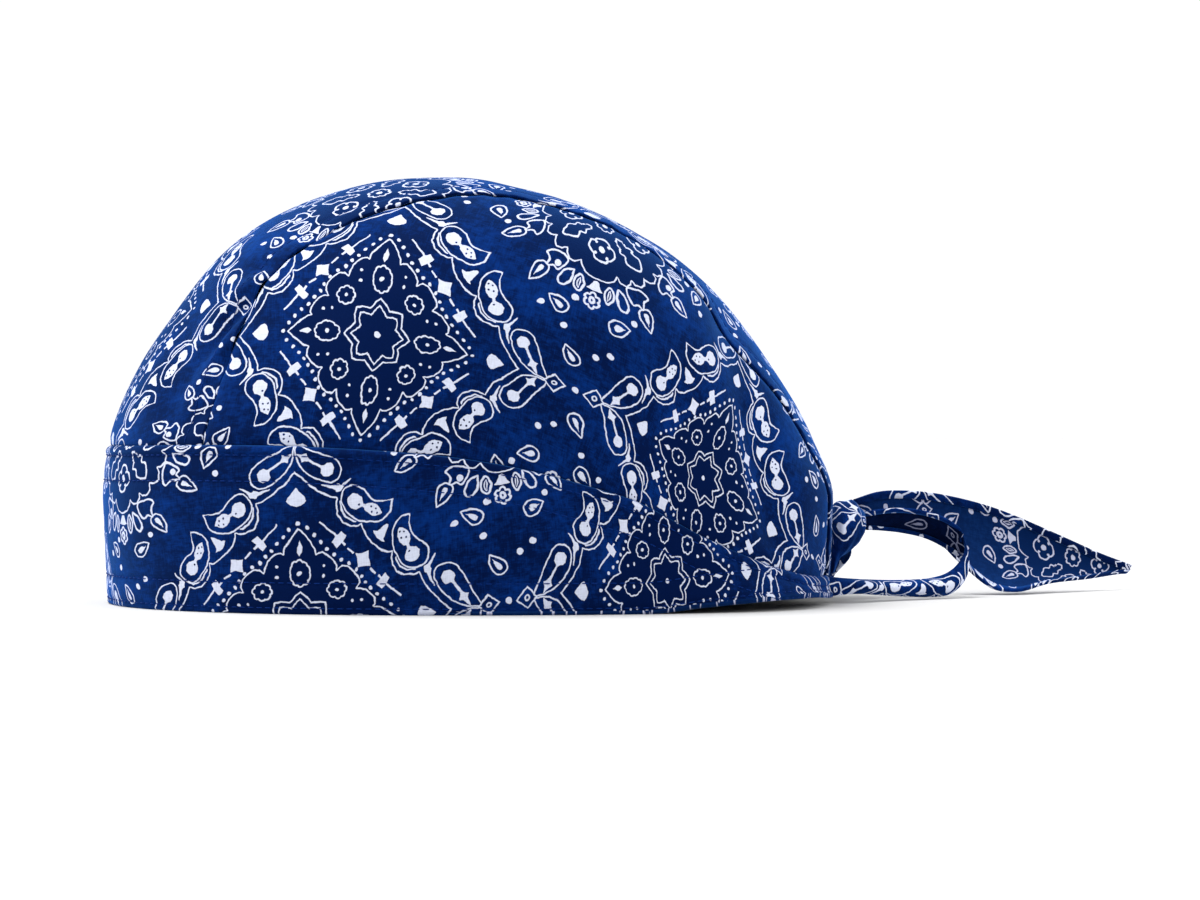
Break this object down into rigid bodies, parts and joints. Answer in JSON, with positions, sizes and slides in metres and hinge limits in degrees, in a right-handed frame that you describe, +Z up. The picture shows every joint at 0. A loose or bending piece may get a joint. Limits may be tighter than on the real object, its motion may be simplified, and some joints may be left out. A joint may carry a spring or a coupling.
{
  "type": "bandana cap",
  "caption": "Close-fitting cotton cap with a centre strip, side panels, a tapering headband and ties knotted behind, printed all over with a bandana pattern.",
  "frame": {"origin": "bottom centre of the cap's own box, on the surface that it stands on", "axes": "+Z up, -Y towards the forehead, +Y towards the ties at the nape, +X towards the wearer's left"},
  "size_m": [0.1712, 0.3156, 0.1232],
  "materials": {
    "crown_cotton": "blue cotton with a white bandana print, plain weave, matte",
    "band_cotton": "the same printed cotton, folded double and stitched",
    "tie_cotton": "the same printed cotton in soft strips, its reverse paler and greyer"
  },
  "bodies": {
    "root": {"centre_panel": "crown_cotton", "left_panel": "crown_cotton", "right_panel": "crown_cotton", "band": "band_cotton", "left_tie": "tie_cotton", "right_tie": "tie_cotton", "tie_knot": "tie_cotton", "left_tail": "tie_cotton", "right_tail": "tie_cotton"}
  },
  "joints": []
}
